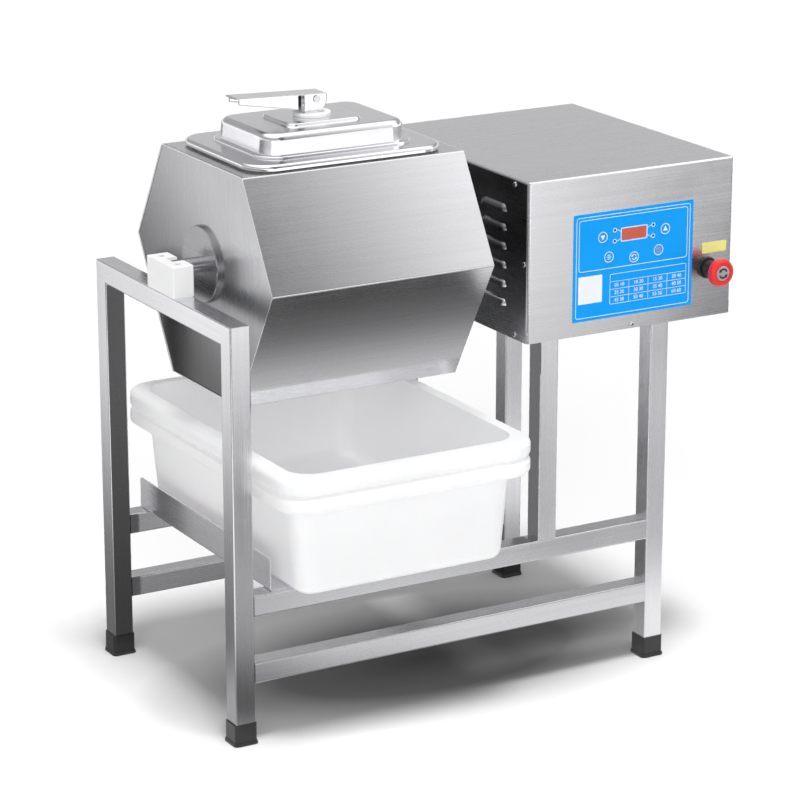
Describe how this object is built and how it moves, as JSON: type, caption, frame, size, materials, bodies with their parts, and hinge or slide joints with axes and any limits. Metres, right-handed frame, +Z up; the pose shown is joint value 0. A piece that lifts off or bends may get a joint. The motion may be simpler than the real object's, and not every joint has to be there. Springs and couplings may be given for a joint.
{
  "type": "meat tumbler",
  "caption": "Steel tumbler for marinating meat: a hexagonal drum with a clamped lid turns on a tube frame beside a drive cabinet, over nested tubs.",
  "frame": {"origin": "On the floor, under the middle of the whole machine's length and depth.", "axes": "+X runs along the drum's shaft from the bearing block to the drive cabinet, -Y is the operator's side with the control panel, +Z is up."},
  "size_m": [0.9456, 0.616, 0.9925],
  "materials": {
    "tube_steel": "brushed",
    "sheet_steel": "brushed",
    "drum_steel": "brushed",
    "lid_steel": "satin",
    "lever_steel": "polished",
    "shaft_steel": "turned",
    "white_nylon": "satin",
    "tub_plastic": "satin",
    "foot_plastic": "satin",
    "black_plastic": "satin",
    "red_plastic": "gloss",
    "blue_film": "satin",
    "key_film": "satin",
    "display_plastic": "gloss",
    "board_plastic": "matte",
    "motor_paint": "satin",
    "gearbox_alloy": "cast",
    "bearing_iron": "cast",
    "gasket_rubber": "matte"
  },
  "bodies": {
    "machine": {"front_left_leg": "tube_steel", "back_left_leg": "tube_steel", "left_crossbar": "tube_steel", "front_right_leg": "tube_steel", "back_right_leg": "tube_steel", "front_mid_post": "tube_steel", "back_mid_post": "tube_steel", "front_upper_rail": "tube_steel", "back_upper_rail": "tube_steel", "front_lower_rail": "tube_steel", "back_lower_rail": "tube_steel", "left_tub_guide": "tube_steel", "right_tub_guide": "tube_steel", "front_left_foot": "foot_plastic", "back_left_foot": "foot_plastic", "front_right_foot": "foot_plastic", "back_right_foot": "foot_plastic", "bearing_block": "white_nylon", "bearing_block_screws": "shaft_steel", "cabinet_cover": "sheet_steel", "cabinet_left_panel": "sheet_steel", "cabinet_right_panel": "sheet_steel", "cabinet_base": "sheet_steel", "control_overlay": "blue_film", "display_window": "display_plastic", "control_board": "board_plastic", "estop_collar": "black_plastic", "estop_contact_block": "black_plastic", "cable_gland": "black_plastic", "drive_motor": "motor_paint", "gearbox": "gearbox_alloy", "motor_bracket": "sheet_steel", "shaft_bearing": "bearing_iron", "power_supply": "gearbox_alloy"},
    "drum": {"drum_shell": "drum_steel", "drum_left_end": "drum_steel", "drum_right_end": "drum_steel", "left_hub_disc": "drum_steel", "right_hub_disc": "drum_steel", "left_stub_shaft": "shaft_steel", "drum_baffles": "drum_steel", "drum_drive_shaft": "shaft_steel", "drive_coupling": "shaft_steel", "drive_shaft": "shaft_steel"},
    "lid": {"lid_pan": "lid_steel", "lid_gasket": "gasket_rubber"},
    "clamp_swivel": {"clamp_washer": "white_nylon"},
    "clamp_draw": {"clamp_spindle": "shaft_steel", "clamp_bar": "shaft_steel"},
    "lever": {"clamp_lever": "lever_steel", "clamp_pin": "shaft_steel"},
    "lower_tub": {"lower_tub": "tub_plastic"},
    "upper_tub": {"upper_tub": "tub_plastic"},
    "estop_plunger": {"estop_stem": "black_plastic"},
    "estop_knob": {"estop_head": "red_plastic"},
    "key_down": {"key_down": "key_film"},
    "key_up": {"key_up": "key_film"},
    "key_left": {"key_left": "key_film"},
    "key_middle": {"key_middle": "key_film"},
    "key_right": {"key_right": "key_film"}
  },
  "joints": [
    {"name": "drum_spin", "type": "hinge", "parent": "machine", "child": "drum", "pos_m": [-0.19375, 0.0305, 0.727], "axis": [1, 0, 0], "continuous": true},
    {"name": "lid_lift", "type": "slide", "parent": "drum", "child": "lid", "axis": [0, 0, 1], "range_m": [0, 0.15]},
    {"name": "clamp_turn", "type": "hinge", "parent": "lid", "child": "clamp_swivel", "pos_m": [-0.19375, 0.0305, 0.9475], "axis": [0, 0, 1], "range_deg": [0, 90]},
    {"name": "clamp_drop", "type": "slide", "parent": "clamp_swivel", "child": "clamp_draw", "axis": [0, 0, 1], "range_m": [-0.004, 0]},
    {"name": "lever_flip", "type": "hinge", "parent": "clamp_draw", "child": "lever", "pos_m": [-0.19375, 0.0305, 0.9775], "axis": [0, 1, 0], "range_deg": [0, 90]},
    {"name": "tub_slide", "type": "slide", "parent": "machine", "child": "lower_tub", "axis": [0, -1, 0], "range_m": [0, 0.45]},
    {"name": "upper_tub_lift", "type": "slide", "parent": "lower_tub", "child": "upper_tub", "axis": [0, 0, 1], "range_m": [0, 0.02]},
    {"name": "estop_press", "type": "slide", "parent": "machine", "child": "estop_plunger", "axis": [0, 1, 0], "range_m": [0, 0.005]},
    {"name": "estop_twist", "type": "hinge", "parent": "estop_plunger", "child": "estop_knob", "pos_m": [0.41475, -0.214, 0.672], "axis": [0, 1, 0], "range_deg": [0, 45], "stiffness_Nm_per_rad": 0.05},
    {"name": "key_down_press", "type": "slide", "parent": "machine", "child": "key_down", "axis": [0, 1, 0], "range_m": [0, 0.0005], "stiffness_N_per_m": 2000},
    {"name": "key_up_press", "type": "slide", "parent": "machine", "child": "key_up", "axis": [0, 1, 0], "range_m": [0, 0.0005], "stiffness_N_per_m": 2000},
    {"name": "key_left_press", "type": "slide", "parent": "machine", "child": "key_left", "axis": [0, 1, 0], "range_m": [0, 0.0005], "stiffness_N_per_m": 2000},
    {"name": "key_middle_press", "type": "slide", "parent": "machine", "child": "key_middle", "axis": [0, 1, 0], "range_m": [0, 0.0005], "stiffness_N_per_m": 2000},
    {"name": "key_right_press", "type": "slide", "parent": "machine", "child": "key_right", "axis": [0, 1, 0], "range_m": [0, 0.0005], "stiffness_N_per_m": 2000}
  ],
  "couplings": [
    {"joint": "clamp_drop", "follows": "lever_flip", "m_per_rad": -0.0025465}
  ]
}
